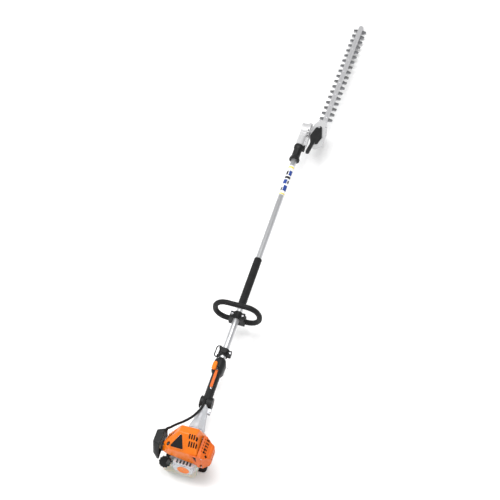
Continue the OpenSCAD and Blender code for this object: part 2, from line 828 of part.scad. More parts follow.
module lock_sleeve() {
    color([0.09, 0.09, 0.1]) on_axis() {
        difference() {
            union() {
                rotate([0, 90, 0]) rotate_extrude() polygon([
                    [13, sleeve_x], [23, sleeve_x], [23, sleeve_x + 6], [18, sleeve_x + 20],
                    [18, sleeve_x + 60], [21, sleeve_x + 68], [21, sleeve_x + 80], [13, sleeve_x + 80]
                ]);
                box(sleeve_x + 60, sleeve_x + 80, -28, -14, -7, 7);
            }
            x_cyl(tube_r + fit, sleeve_x - 1, sleeve_x + 90);
        }
        translate([0, -21, 0]) x_cyl(3, sleeve_x + 79, pivot_x - quad_r - gap);
    }
}

module gear_housing() {
    color([0.8, 0.8, 0.81]) on_axis() difference() {
        union() {
            x_cyl(19, neck_x1, neck_x2);
            box(neck_x2 - 2, pivot_x - 20, -13.6, 15, -19, 19);
            translate([pivot_x, 0, 0]) y_cyl(32, -13.6, 15);
            translate([pivot_x, 0, 0]) y_cyl(boss_r, -28, -13);
            box(neck_x1 + 4, neck_x2, -30, 0, -9, 9);
        }
        x_cyl(tube_r, neck_x1 - 1, neck_x2);
        x_cyl(10, neck_x2 - 1, pivot_x - 10);
        translate([0, -21, 0]) x_cyl(3 + fit, neck_x1 - 1, pivot_x);
        translate([pivot_x, 0, 0]) {
            y_cyl(20, -10.4, 11);
            y_cyl(5 + fit, -40, 13);
        }
    }
}

module cross_shaft() {
    color([0.58, 0.58, 0.6]) on_axis() translate([pivot_x, 0, 0]) {
        y_cyl(5, -56, 12);
        translate([0, -9.1, 0]) rotate([90, 0, 0]) cylinder(r = 17, h = 1);
        translate([0, -9.1, 0]) rotate([-90, 0, 0]) face_teeth(12, 17, crown_n, 1.3, 2.2);
        translate([0, -43, 0]) rotate([90, 0, 0]) spur(7, 9, pinion_n, 1.8, 10);
    }
}

// ---- cutter head ---------------------------------------------------------

module quadrant() {
    color([0.82, 0.82, 0.83]) in_head() difference() {
        union() {
            y_cyl(quad_r, -26, -13.6 - gap);
            box(-20, 20, -33, -26, -26, 20);
        }
        y_cyl(boss_r + fit, -30, -10);
        y_cyl(8, -50, -20);
        for (i = [-4 : 3]) rotate([0, rest_tilt * -1 + notch_step * i, 0]) translate([0, -21, 0])
            x_cyl(3.4, -quad_r - 2, -quad_r + 12);
    }
}

module head_outline() {
    polygon([
        [-68, -44], [-70, -66], [-44, -93], [30, -93.5], [60, -84], [bar_x1 + 10, -79],
        [bar_x1 + 10, -53], [60, -46], [34, -33], [-34, -33]
    ]);
}

module blade_gear_housing() {
    color([0.82, 0.81, 0.8]) in_head() difference() {
        union() {
            translate([0, 0, floor_z - floor_t]) linear_extrude(floor_t + 34) head_outline();
            translate([0, 0, plate_z]) linear_extrude(floor_z - floor_t - plate_z + 1) difference() {
                head_outline();
                translate([0, -blade_side]) square([88, 47], center = true);
                translate([50, -blade_side]) square([100, 30], center = true);
            }
        }
        translate([0, -blade_side, 0]) z_cyl(crank_gear_r + 1, floor_z, 16);
        box(-26, 26, -70, -36, -12, 16);
        translate([0, -blade_side, 0]) z_cyl(8 + fit, -40, 0);
        y_cyl(10, -50, -20);
        box(70, 120, -120, -20, -12, 40);
        translate([0, -blade_side, 0]) z_cyl(5 + fit, 10, 40);
    }
}

module gearbox_cover() {
    color([0.1, 0.1, 0.11]) in_head() translate([-34, -62, 18.4]) difference() {
        blob([[-50, 6, 1], [-10, 19, 3], [-6, -16, 3], [50, -2, 1], [-44, -8, 1], [40, 9, 1]], 9);
        box(-90, 90, -80, 80, -20, 0);
        translate([46, 2, 0]) z_cyl(2.6, -1, 20);
        translate([lever_root[0] + 34, lever_root[1] + 62, 0]) z_cyl(8.5, -1, 20);
        translate([lever_root[0] + 12, lever_root[1] + 64, 0]) cube([44, 22, 40], center = true);
    }
}

module adjusting_lever() {
    color([0.1, 0.1, 0.11]) in_head() difference() {
        translate([0, 0, 18.6]) linear_extrude(11) hull() {
            translate(lever_end) circle(8);
            translate(lever_root) circle(8);
        }
        for (i = [0 : 5]) translate([lever_end[0] + 8 * i, lever_end[1], 30]) cube([3, 40, 4], center = true);
    }
}

module base_plate() {
    color([0.75, 0.75, 0.76]) in_head() difference() {
        translate([0, 0, head_low]) linear_extrude(plate_t) head_outline();
        translate([0, -blade_side, 0]) z_cyl(6, -60, 0);
    }
}

module crank_gear() {
    color([0.6, 0.58, 0.55]) in_head() translate([0, -blade_side, 0]) {
        z_cyl(crank_gear_r, floor_z + gap, gear_top - 2.4);
        translate([0, 0, gear_top - 2.4]) face_teeth(11, crank_gear_r - 1, crank_n, 1.6, 2.4);
        z_cyl(8, lower_z, floor_z + gap + eps);
        z_cyl(5, gear_top - 3, 18);
        translate([stroke, 0, 0]) z_cyl(ecc_r, upper_z, upper_z + blade_t);
        translate([-stroke, 0, 0]) z_cyl(ecc_r, lower_z, lower_z + blade_t);
    }
}

module tooth() {
    polygon([
        [-9.5, spine_w / 2 - 1], [9.5, spine_w / 2 - 1],
        [4.5, spine_w / 2 + tooth_len], [-4.5, spine_w / 2 + tooth_len]
    ]);
}

module blade_profile() {
    half_x = 2 * stroke + ecc_r + 0.5;
    difference() {
        union() {
            square([2 * half_x + 16, 2 * (ecc_r + stroke) + 13], center = true);
            translate([30, -spine_w / 2]) square([blade_x2 - 30, spine_w]);
            for (i = [0 : tooth_count - 1]) translate([tooth_x0 + tooth_pitch * i, 0]) tooth();
            mirror([0, 1]) for (i = [0 : tooth_count - 1])
                translate([tooth_x0 + tooth_pitch * i, 0]) tooth();
        }
        square([2 * half_x, 2 * (ecc_r + stroke + 0.5)], center = true);
        for (i = [0 : screw_count - 1]) translate([screw_x0 + screw_pitch * i, 0])
            round_bar([-stroke, 0], [stroke, 0], 3.6);
    }
}

module upper_blade() {
    color([0.78, 0.78, 0.79]) in_head() translate([0, -blade_side, upper_z])
        linear_extrude(blade_t) blade_profile();
}

module lower_blade() {
    color([0.72, 0.72, 0.73]) in_head() translate([0, -blade_side, lower_z])
        linear_extrude(blade_t) blade_profile();
}

module blade_bar() {
    color([0.85, 0.85, 0.86]) in_head() translate([0, -blade_side, 0]) {
        translate([0, 0, upper_z + blade_t + gap]) linear_extrude(6) {
            translate([bar_x1 + 10, -bar_w / 2]) square([bar_x2 - bar_x1 - 10, bar_w]);
            translate([bar_x2, 0]) circle(bar_w / 2);
        }
        intersection() {
            translate([bar_x2, 0, 0]) z_cyl(bar_w / 2, shoe_z, upper_z + blade_t + gap + 1);
            box(bar_x2, bar_x2 + bar_w, -bar_w, bar_w, -60, 0);
        }
        for (i = [0 : screw_count - 1]) translate([screw_x0 + screw_pitch * i, 0, 0]) {
            z_cyl(3, head_low + 1, upper_z + blade_t + gap + eps);
            z_cyl(5.5, head_low, plate_z);
            z_cyl(5, upper_z + blade_t + gap + 6 - eps, upper_z + blade_t + gap + 8.5);
        }
    }
}

engine_shroud();
muffler_guard();
air_filter_cover();
air_filter_element();
filter_housing();
carburettor();
intake_flange();
choke_lever();
primer_bulb();
fuel_tank();
fuel_cap();
starter_housing();
starter_badge();
starter_pulley();
starter_grip();
crankcase_rear();
crankcase_front();
crank_bearings();
crankshaft();
connecting_rod();
piston();
cylinder_body();  // cylinder
spark_plug();
spark_plug_cap();
ignition_module();
flywheel();
muffler();
fan_housing();
clutch_shoes();
clutch_drum();
clutch_housing();
support_foot();
throttle_conduit();
shaft_tube();
drive_shaft();
shaft_bushes();
handle_left();
handle_right();
throttle_trigger();
trigger_lockout();
stop_switch();
ring_clamp();
carrying_ring();
loop_handle();
loop_clamp();
clamp_screws();
hose_grip();
label_sleeve();
lock_sleeve();
gear_housing();
cross_shaft();
quadrant();
blade_gear_housing();
gearbox_cover();
adjusting_lever();
base_plate();
crank_gear();
blade_bar();
upper_blade();
lower_blade();
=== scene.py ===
import json
import math

import bmesh
import bpy
from mathutils import Matrix, Vector


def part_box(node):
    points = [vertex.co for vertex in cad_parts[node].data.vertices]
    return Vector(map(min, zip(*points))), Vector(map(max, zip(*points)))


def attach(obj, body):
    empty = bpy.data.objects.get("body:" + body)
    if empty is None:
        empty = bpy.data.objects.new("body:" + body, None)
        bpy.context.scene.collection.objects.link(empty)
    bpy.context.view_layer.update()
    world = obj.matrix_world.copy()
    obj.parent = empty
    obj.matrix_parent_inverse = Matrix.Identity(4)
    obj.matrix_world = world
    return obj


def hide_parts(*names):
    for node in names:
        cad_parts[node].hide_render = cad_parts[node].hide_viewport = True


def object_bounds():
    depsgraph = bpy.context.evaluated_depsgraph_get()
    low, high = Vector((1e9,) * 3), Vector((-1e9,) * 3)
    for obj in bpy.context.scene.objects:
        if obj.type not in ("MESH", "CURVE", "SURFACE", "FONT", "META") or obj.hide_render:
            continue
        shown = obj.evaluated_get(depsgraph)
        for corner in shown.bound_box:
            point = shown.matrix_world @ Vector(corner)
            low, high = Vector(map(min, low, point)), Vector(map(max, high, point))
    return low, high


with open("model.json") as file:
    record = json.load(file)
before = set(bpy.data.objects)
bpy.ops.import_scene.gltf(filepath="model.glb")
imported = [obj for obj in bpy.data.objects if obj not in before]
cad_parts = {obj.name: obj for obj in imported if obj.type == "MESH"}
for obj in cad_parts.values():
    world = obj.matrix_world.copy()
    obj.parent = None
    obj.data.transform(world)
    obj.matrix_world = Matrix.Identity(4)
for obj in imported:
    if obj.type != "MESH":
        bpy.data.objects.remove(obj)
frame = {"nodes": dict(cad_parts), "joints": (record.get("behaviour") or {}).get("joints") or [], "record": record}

# Pole hedge trimmer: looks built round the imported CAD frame. Shapes are worked on in millimetres,
# in one of two local frames, and put into the row frame in metres at the end.

cad_low, cad_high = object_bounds()

NODES = frame["nodes"]
RECORD = frame["record"]
JOINTS = {j["name"]: j for j in frame["joints"]}
SLOT_OF = {part["node"]: part["material_slot"] for part in RECORD["subparts"]}
BODY_OF = {node: body for body, group in RECORD["behaviour"]["bodies"].items() for node in group}
MM = 0.001


def middle(node):
    low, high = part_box(node)
    return (low + high) / 2


# The shaft's axis is level. Engine frame: its origin is on that axis, above the record's origin.
SHAFT_Z = middle("shaft_tube").z
ENGINE = Matrix.Translation((0, 0, SHAFT_Z)) @ Matrix.Scale(MM, 4)

# Head frame: origin on the tilt axis, +X along the cutter and +Z away from the blades.
tilt = JOINTS["head_tilt"]
PIVOT_X = tilt["pos_m"][0] / MM
head_x = Vector(JOINTS["upper_blade_slide"]["axis"]).normalized()
head_z = Vector(JOINTS["eccentric_spin"]["axis"]).normalized()
head_axes = Matrix((head_x, head_z.cross(head_x), head_z)).transposed().to_4x4()
HEAD = Matrix.Translation((tilt["pos_m"][0], 0, tilt["pos_m"][2])) @ head_axes @ Matrix.Scale(MM, 4)


# ---- mesh helpers --------------------------------------------------------

def link(name, mesh):
    obj = bpy.data.objects.new(name, mesh)
    bpy.context.scene.collection.objects.link(obj)
    return obj


def from_bmesh(name, bm):
    mesh = bpy.data.meshes.new(name)
    bm.normal_update()
    bm.to_mesh(mesh)
    bm.free()
    return link(name, mesh)


def drop(obj):
    mesh = obj.data
    bpy.data.objects.remove(obj)
    bpy.data.meshes.remove(mesh)


def apply_modifiers(obj):
    bpy.context.view_layer.update()
    graph = bpy.context.evaluated_depsgraph_get()
    mesh = bpy.data.meshes.new_from_object(obj.evaluated_get(graph))
    old = obj.data
    obj.modifiers.clear()
    obj.data = mesh
    bpy.data.meshes.remove(old)
    return obj


def from_node(node, matrix=ENGINE):
    """A welded copy of a CAD node, in millimetres in the given local frame."""
    bm = bmesh.new()
    bm.from_mesh(NODES[node].data)
    bmesh.ops.remove_doubles(bm, verts=bm.verts, dist=1e-6)
    bmesh.ops.transform(bm, matrix=matrix.inverted(), verts=bm.verts)
    copy = from_bmesh(node + "_skin", bm)
    copy.data.materials.clear()
    return copy


def block(x1, x2, y1, y2, z1, z2):
    bm = bmesh.new()
    size = Matrix.Diagonal((x2 - x1, y2 - y1, z2 - z1, 1))
    place = Matrix.Translation(((x1 + x2) / 2, (y1 + y2) / 2, (z1 + z2) / 2))
    bmesh.ops.create_cube(bm, size=1, matrix=place @ size)
    return from_bmesh("block", bm)


def rod(p, q, r1, r2=None, sides=40):
    """A straight or tapered rod from p to q."""
    p, q = Vector(p), Vector(q)
    bm = bmesh.new()
    turn = (q - p).to_track_quat("Z", "Y").to_matrix().to_4x4()
    bmesh.ops.create_cone(bm, cap_ends=True, segments=sides, radius1=r1,
                          radius2=r1 if r2 is None else r2, depth=(q - p).length,
                          matrix=Matrix.Translation((p + q) / 2) @ turn)
    return from_bmesh("rod", bm)


def hull(balls):
    """The hull of balls given as (x, y, z, radius)."""
    bm = bmesh.new()
    for x, y, z, r in balls:
        bmesh.ops.create_icosphere(bm, subdivisions=3, radius=r, matrix=Matrix.Translation((x, y, z)))
    out = bmesh.ops.convex_hull(bm, input=bm.verts, use_existing_faces=False)
    loose = [g for g in out["geom_interior"] + out["geom_unused"] if isinstance(g, bmesh.types.BMVert)]
    bmesh.ops.delete(bm, geom=loose, context="VERTS")
    bmesh.ops.recalc_face_normals(bm, faces=bm.faces)
    return from_bmesh("hull", bm)


def prism(outline, z1, z2, matrix=Matrix.Identity(4)):
    """An outline in XY, extruded from z1 to z2 and then placed."""
    bm = bmesh.new()
    low = [bm.verts.new((x, y, z1)) for x, y in outline]
    high = [bm.verts.new((x, y, z2)) for x, y in outline]
    bm.faces.new(low[::-1])
    bm.faces.new(high)
    for i in range(len(outline)):
        j = (i + 1) % len(outline)
        bm.faces.new((low[i], low[j], high[j], high[i]))
    bmesh.ops.recalc_face_normals(bm, faces=bm.faces)
    bmesh.ops.transform(bm, matrix=matrix, verts=bm.verts)
    return from_bmesh("prism", bm)


def lathe(profile, axis=(1, 0, 0), sides=72):
    """A closed profile of (distance along the axis, radius), turned round the axis."""
    bm = bmesh.new()
    turn = Vector(axis).to_track_quat("Z", "Y").to_matrix().to_4x4()
    rings = []
    for along, r in profile:
        rings.append([bm.verts.new((r * math.cos(a), r * math.sin(a), along))
                      for a in (2 * math.pi * k / sides for k in range(sides))])
    for i, ring in enumerate(rings):
        after = rings[(i + 1) % len(rings)]
        for k in range(sides):
            j = (k + 1) % sides
            bm.faces.new((ring[k], ring[j], after[j], after[k]))
    bmesh.ops.remove_doubles(bm, verts=bm.verts, dist=1e-4)
    bmesh.ops.dissolve_degenerate(bm, edges=bm.edges, dist=1e-5)
    bmesh.ops.recalc_face_normals(bm, faces=bm.faces)
    bmesh.ops.transform(bm, matrix=turn, verts=bm.verts)
    return from_bmesh("lathe", bm)


def smooth_path(points, steps):
    """Catmull-Rom points through a route."""
    pts = [Vector(p) for p in points]
    out = []
    for i in range(len(pts) - 1):
        a, b, c, d = pts[max(i - 1, 0)], pts[i], pts[i + 1], pts[min(i + 2, len(pts) - 1)]
        for k in range(steps):
            t = k / steps
            out.append(0.5 * (2 * b + (c - a) * t + (2 * a - 5 * b + 4 * c - d) * t * t
                              + (3 * b - a - 3 * c + d) * t ** 3))
    return out + [pts[-1]]


def tube(points, radius, sides=20):
    """A capped tube along points."""
    bm = bmesh.new()
    rings = []
    last = len(points) - 1
    side = None
    for i, p in enumerate(points):
        along = (points[min(i + 1, last)] - points[max(i - 1, 0)]).normalized()
        if side is None:
            side = along.orthogonal().normalized()
        side = (side - along * side.dot(along)).normalized()
        up = along.cross(side)
        rings.append([bm.verts.new(p + radius * (math.cos(a) * side + math.sin(a) * up))
                      for a in (2 * math.pi * k / sides for k in range(sides))])
    for a, b in zip(rings, rings[1:]):
        for k in range(sides):
            j = (k + 1) % sides
            bm.faces.new((a[k], a[j], b[j], b[k]))
    bm.faces.new(rings[0][::-1])
    bm.faces.new(rings[-1])
    bmesh.ops.recalc_face_normals(bm, faces=bm.faces)
    return from_bmesh("tube", bm)


def turned(obj, matrix):
    obj.data.transform(matrix)
    return obj


def merge(objs):
    """One object holding all the given shells."""
    bm = bmesh.new()
    for obj in objs:
        bm.from_mesh(obj.data)
    for obj in objs:
        drop(obj)
    return from_bmesh("merged", bm)


def boolean(obj, other, how):
    step = obj.modifiers.new("step", "BOOLEAN")
    step.operation = how
    step.solver = "EXACT"
    step.object = other
    return apply_modifiers(obj)


def combine(obj, others, how):
    """Adds or cuts the other shapes, one after another, and uses them up."""
    for other in others:
        boolean(obj, other, how)
        drop(other)
    return obj


def add(obj, others):
    return combine(obj, others, "UNION")


def cut(obj, others):
    return combine(obj, others, "DIFFERENCE")


def clip(obj, other):
    """Keeps what lies inside the other shape, and leaves that shape in place."""
    return boolean(obj, other, "INTERSECT")


def soften(obj, voxel, rounds=4, keep=0.35):
    """Moulded look: every edge gets a small fillet, about a voxel wide."""
    mesh = obj.modifiers.new("voxels", "REMESH")
    mesh.mode = "VOXEL"
    mesh.voxel_size = voxel
    ease = obj.modifiers.new("ease", "SMOOTH")
    ease.factor = 0.5
    ease.iterations = rounds
    lean = obj.modifiers.new("lean", "DECIMATE")
    lean.ratio = keep
    apply_modifiers(obj)
    obj.data.shade_smooth()
    return obj


def bevelled(obj, width, segments=3, angle=32):
    edge = obj.modifiers.new("bevel", "BEVEL")
    edge.width = width
    edge.segments = segments
    edge.limit_method = "ANGLE"
    edge.angle_limit = math.radians(angle)
    apply_modifiers(obj)
    obj.data.shade_smooth()
    flat = obj.modifiers.new("normals", "WEIGHTED_NORMAL")
    flat.keep_sharp = True
    flat.weight = 80
    return obj


def place(obj, name, matrix, body, material, slot, replaces=()):
    """Puts a finished shape into the row frame and says what it is."""
    obj.data.transform(matrix)
    obj.name = name
    obj.data.name = name
    obj.data.materials.clear()
    obj.data.materials.append(material)
    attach(obj, body)
    if replaces:
        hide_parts(*replaces)
    return obj


def skin(obj, node, material, matrix=ENGINE):
    """A finished shape that stands for one CAD node and rides where that node rides."""
    return place(obj, node + "_shell", matrix, BODY_OF[node], material, SLOT_OF[node], (node,))


# ---- materials -----------------------------------------------------------

def srgb(r, g, b):
    """A colour given as it looks on screen, 0 to 255, as linear values."""
    return tuple(c / 12.92 if c <= 0.04045 else ((c + 0.055) / 1.055) ** 2.4
                 for c in (r / 255, g / 255, b / 255)) + (1,)


def shade(colour, factor):
    return tuple(min(c * factor, 1) for c in colour[:3]) + (1,)


class Shader:
    """Short names for building one node material."""

    def __init__(self, name):
        self.material = bpy.data.materials.new(name)
        self.material.use_nodes = True
        self.nodes = self.material.node_tree.nodes
        self.links = self.material.node_tree.links
        self.shader = self.nodes["Principled BSDF"]
        self.place = self.nodes.new("ShaderNodeTexCoord").outputs["Object"]

    def node(self, kind, **inputs):
        made = self.nodes.new(kind)
        for key, value in inputs.items():
            socket = made.inputs[key.replace("_", " ")]
            if isinstance(value, bpy.types.NodeSocket):
                self.links.new(value, socket)
            else:
                socket.default_value = value
        return made

    def noise(self, scale, detail=4, rough=0.55, at=None):
        made = self.node("ShaderNodeTexNoise", Scale=scale, Detail=detail, Roughness=rough)
        self.links.new(at or self.place, made.inputs["Vector"])
        return made.outputs["Fac"]

    def stretch(self, x, y, z):
        made = self.node("ShaderNodeMapping")
        made.inputs["Scale"].default_value = (x, y, z)
        self.links.new(self.place, made.inputs["Vector"])
        return made.outputs["Vector"]

    def ramp(self, value, low, high, to_low=0.0, to_high=1.0):
        made = self.node("ShaderNodeMapRange")
        made.clamp = True
        self.links.new(value, made.inputs["Value"])
        for key, number in (("From Min", low), ("From Max", high), ("To Min", to_low), ("To Max", to_high)):
            made.inputs[key].default_value = number
        return made.outputs["Result"]

    def mix(self, factor, a, b):
        made = self.nodes.new("ShaderNodeMix")
        made.data_type = "RGBA"
        for socket, value in ((made.inputs[0], factor), (made.inputs[6], a), (made.inputs[7], b)):
            if isinstance(value, bpy.types.NodeSocket):
                self.links.new(value, socket)
            else:
                socket.default_value = value
        return made.outputs[2]

    def math(self, how, a, b=0.0):
        made = self.nodes.new("ShaderNodeMath")
        made.operation = how
        for socket, value in zip(made.inputs, (a, b)):
            if isinstance(value, bpy.types.NodeSocket):
                self.links.new(value, socket)
            else:
                socket.default_value = value
        return made.outputs[0]

    def bump(self, height, distance, strength=1.0, under=None):
        made = self.node("ShaderNodeBump", Strength=strength, Distance=distance)
        self.links.new(height, made.inputs["Height"])
        if under:
            self.links.new(under, made.inputs["Normal"])
        return made.outputs["Normal"]

    def set(self, **inputs):
        for key, value in inputs.items():
            socket = self.shader.inputs[key.replace("_", " ")]
            if isinstance(value, bpy.types.NodeSocket):
                self.links.new(value, socket)
            else:
                socket.default_value = value

    def edges(self):
        """1 on worn outer edges, broken up by noise."""
        edge = self.ramp(self.nodes.new("ShaderNodeNewGeometry").outputs["Pointiness"], 0.52, 0.60)
        return self.math("MULTIPLY", edge, self.ramp(self.noise(260, 3), 0.42, 0.62))

    def hollows(self):
        """1 in grooves and corners: where dust settles on plastic, and where metal gets painted shade."""
        point = self.nodes.new("ShaderNodeNewGeometry").outputs["Pointiness"]
        return self.ramp(point, 0.48, 0.41)


def moulded(name, colour, rough=0.42, grain=0.00006, grain_scale=1500, worn=None, coat=0.0, dust=0.25):
    """Injection-moulded plastic: spark-eroded grain, faint flow marks, worn edges and dust in corners."""
    s = Shader(name)
    tone = s.mix(s.ramp(s.noise(14, 3), 0.35, 0.65), shade(colour, 0.90), shade(colour, 1.06))
    speck = s.mix(s.ramp(s.noise(900, 2), 0.56, 0.74, 0, 0.35), tone, shade(colour, 0.78))
    scuffed = s.mix(s.math("MULTIPLY", s.edges(), 0.55), speck, worn or shade(colour, 1.5))
    dusty = s.mix(s.math("MULTIPLY", s.hollows(), dust), scuffed, srgb(120, 110, 96))
    finger = s.ramp(s.noise(38, 4), 0.3, 0.7, rough - 0.08, rough + 0.12)
    s.set(Base_Color=dusty, Roughness=finger, Coat_Weight=coat, Coat_Roughness=0.25,
          Specular_IOR_Level=0.35, Normal=s.bump(s.noise(grain_scale, 5, 0.6), grain, 0.6))
    return s.material


def rubber(name, colour, rough=0.62):
    """Soft black rubber or foam, with a pebbled skin and a greyish bloom."""
    s = Shader(name)
    bloom = s.mix(s.ramp(s.noise(22, 5), 0.4, 0.7), colour, shade(colour, 1.7))
    s.set(Base_Color=s.mix(s.math("MULTIPLY", s.edges(), 0.5), bloom, shade(colour, 2.6)),
          Roughness=s.ramp(s.noise(60, 4), 0.3, 0.7, rough - 0.1, rough + 0.14),
          Sheen_Weight=0.05, Sheen_Roughness=0.5, Specular_IOR_Level=0.3)
    cells = s.node("ShaderNodeTexVoronoi", Scale=1300)
    s.links.new(s.place, cells.inputs["Vector"])
    pebble = s.bump(cells.outputs["Distance"], 0.00009, 0.6)
    s.set(Normal=s.bump(s.noise(500, 4), 0.00008, 0.5, pebble))
    return s.material


def metal(name, colour, rough=0.3, brush=(1, 60, 60), brush_scale=90, metallic=1.0, cast=False, tint=None):
    """Bare or painted metal, brushed or cast with a pebbled skin, with painted shade in its hollows; tint is a
    second colour, in stains.
    """
    s = Shader(name)
    streak = s.noise(brush_scale, 4, 0.6, s.stretch(*brush))
    tone = s.mix(s.ramp(streak, 0.3, 0.7), shade(colour, 0.86), shade(colour, 1.08))
    if tint:
        tone = s.mix(s.ramp(s.noise(30, 5, 0.65), 0.50, 0.72, 0, 0.6), tone, tint)
    # Painted shade: grooves and corners darkened towards a third of the metal's colour.
    hollow_shade = s.mix(s.math("MULTIPLY", s.hollows(), 0.5), tone, shade(colour, 0.35))
    s.set(Base_Color=s.mix(s.math("MULTIPLY", s.edges(), 0.6), hollow_shade, shade(colour, 1.25)),
          Metallic=metallic, Roughness=s.ramp(streak, 0.25, 0.75, rough - 0.07, rough + 0.15))
    if cast:
        s.set(Normal=s.bump(s.noise(650, 5, 0.6), 0.00016, 0.6))
    else:
        s.set(Normal=s.bump(s.noise(brush_scale * 3, 5, 0.6, s.stretch(*brush)), 0.00003, 0.35))
    return s.material


def milky(name, colour):
    """Translucent tank plastic, with fuel showing as a slightly darker lower part."""
    s = Shader(name)
    height = s.node("ShaderNodeSeparateXYZ")
    s.links.new(s.place, height.inputs[0])
    fuel = s.ramp(height.outputs["Z"], 0.040, 0.046)
    tone = s.mix(fuel, srgb(206, 200, 182), colour)
    cloudy = s.mix(s.ramp(s.noise(26, 5), 0.35, 0.7, 0, 0.4), tone, shade(colour, 0.86))
    s.set(Base_Color=cloudy, Roughness=s.ramp(s.noise(50, 4), 0.3, 0.7, 0.30, 0.48),
          Subsurface_Weight=0.35, Subsurface_Scale=0.006, Transmission_Weight=0.18,
          Normal=s.bump(s.noise(700, 4), 0.00008, 0.5))
    return s.material


def paper(name, colour):
    s = Shader(name)
    tone = s.mix(s.ramp(s.noise(160, 5), 0.3, 0.7), shade(colour, 0.85), colour)
    s.set(Base_Color=tone, Roughness=s.ramp(s.noise(300, 3), 0.3, 0.7, 0.8, 0.95),
          Normal=s.bump(s.noise(900, 5), 0.0002, 0.7))
    return s.material


ORANGE = srgb(234, 116, 12)
RED_ORANGE = srgb(218, 98, 12)
BLACK = srgb(18, 19, 20)

mat_orange = moulded("orange_plastic", ORANGE, 0.34, coat=0.12, worn=srgb(248, 152, 52), dust=0.05)
mat_guard = moulded("guard_plastic", RED_ORANGE, 0.42, coat=0.05, worn=srgb(238, 134, 44), dust=0.06)
mat_accent = moulded("accent_orange", srgb(238, 120, 18), 0.36, worn=srgb(248, 156, 60), dust=0.06)
mat_black = moulded("black_plastic", BLACK, 0.46, 0.00009, 1200, worn=srgb(92, 93, 96))
mat_grip = moulded("handle_plastic", srgb(16, 17, 18), 0.5, 0.00013, 900, worn=srgb(80, 82, 84))
mat_dark = moulded("dark_plastic", srgb(58, 59, 62), 0.5, worn=srgb(110, 110, 112))
# Near-black sheets put behind slots and openings as painted shade.
mat_painted_shade = moulded("painted_shade_black", srgb(16, 16, 17), 0.7)
mat_cream = moulded("bush_plastic", srgb(222, 216, 196), 0.5)
mat_rubber = rubber("black_rubber", srgb(12, 12, 13))
mat_hose = rubber("grip_hose", srgb(14, 14, 15), 0.7)
mat_casting = metal("grey_casting", srgb(196, 198, 202), 0.44, metallic=0.3, cast=True)
mat_head = metal("head_casting", srgb(204, 204, 205), 0.42, metallic=0.3, cast=True)
mat_tube = metal("shaft_metal", srgb(200, 201, 203), 0.34, metallic=0.85)
mat_steel = metal("machined_steel", srgb(168, 168, 172), 0.3, brush=(60, 1, 1))
mat_alu = metal("raw_aluminium", srgb(188, 188, 190), 0.42, cast=True)
mat_heat = metal("heat_steel", srgb(132, 122, 112), 0.4, tint=srgb(118, 84, 60))
mat_screw = metal("plated_screws", srgb(214, 214, 218), 0.2, brush=(40, 40, 40))
mat_blade = metal("ground_blade_steel", srgb(150, 151, 154), 0.32, brush=(60, 2, 2),
                  tint=srgb(120, 118, 112))
mat_bar = metal("guide_bar_metal", srgb(222, 222, 224), 0.34, brush=(1, 60, 60), metallic=0.75)
mat_tank = milky("tank_plastic", srgb(236, 236, 232))
mat_paper = paper("filter_paper", srgb(228, 214, 178))
mat_glaze = moulded("glazed_ceramic", srgb(236, 234, 228), 0.2, 0.00001, coat=0.6)
mat_foil = moulded("label_foil", srgb(232, 232, 230), 0.28, 0.00002, 500)
mat_blue = moulded("print_blue", srgb(40, 66, 138), 0.35, 0.00002, 500)
mat_ink = moulded("print_dark", srgb(34, 35, 44), 0.35, 0.00002, 500)
mat_yellow = moulded("print_yellow", srgb(232, 204, 60), 0.35, 0.00002, 500)

PLAIN = {
    "air_filter_element": mat_paper, "filter_housing": mat_black, "carburettor": mat_alu,
    "intake_flange": mat_dark, "starter_pulley": mat_dark, "crankcase_rear": mat_casting,
    "crankcase_front": mat_casting, "crank_bearings": mat_steel, "crankshaft": mat_steel,
    "connecting_rod": mat_steel, "piston": mat_alu, "cylinder": mat_alu, "spark_plug": mat_glaze,
    "ignition_module": mat_dark, "flywheel": mat_alu, "muffler": mat_heat, "fan_housing": mat_casting,
    "clutch_shoes": mat_steel, "clutch_drum": mat_steel, "shaft_tube": mat_tube, "drive_shaft": mat_steel,
    "shaft_bushes": mat_cream, "clamp_screws": mat_screw, "cross_shaft": mat_steel, "crank_gear": mat_steel,
    "upper_blade": mat_blade, "lower_blade": mat_blade, "blade_bar": mat_bar, "label_sleeve": mat_foil,
}
BEVEL = {
    "blade_bar": 0.6, "upper_blade": 0.5, "lower_blade": 0.5, "clamp_screws": 0.4, "muffler": 1.2,
    "filter_housing": 0.8, "carburettor": 0.8, "cylinder": 0.5, "fan_housing": 1.0, "flywheel": 0.4,
    "crankcase_rear": 0.8, "crankcase_front": 0.8, "shaft_tube": 0.2,
}


def dress_cad():
    """Better materials, and softened edges where they show, on the CAD nodes that stay."""
    for node, material in PLAIN.items():
        obj = NODES[node]
        obj.data.materials.clear()
        obj.data.materials.append(material)
        if node in BEVEL:
            weld = obj.modifiers.new("weld", "WELD")
            weld.merge_threshold = 2e-6
            edge = obj.modifiers.new("bevel", "BEVEL")
            edge.width = BEVEL[node] * MM
            edge.segments = 2
            edge.limit_method = "ANGLE"
            edge.angle_limit = math.radians(38)


# ---- small parts used in several places ----------------------------------

# Turns that take +Z to the named direction
AXIS_TURN = {
    "x": Matrix.Rotation(math.radians(90), 4, "Y"), "-x": Matrix.Rotation(math.radians(-90), 4, "Y"),
    "y": Matrix.Rotation(math.radians(-90), 4, "X"), "-y": Matrix.Rotation(math.radians(90), 4, "X"),
    "z": Matrix.Identity(4),
}


def screw(at, way="z", r=3.4, high=2.2):
    """Pan-head screw with a hexagon socket, standing on the point it is given."""
    profile = [(-0.8, 0), (-0.8, r), (high * 0.55, r), (high * 0.9, r * 0.82), (high, r * 0.6), (high, 0.0)]
    head = lathe(profile, axis=(0, 0, 1), sides=28)
    socket = prism([(r * 0.46 * math.cos(a), r * 0.46 * math.sin(a))
                    for a in (math.pi * k / 3 for k in range(6))], high - 1.3, high + 1)
    cut(head, [socket])
    return turned(head, Matrix.Translation(at) @ AXIS_TURN[way])


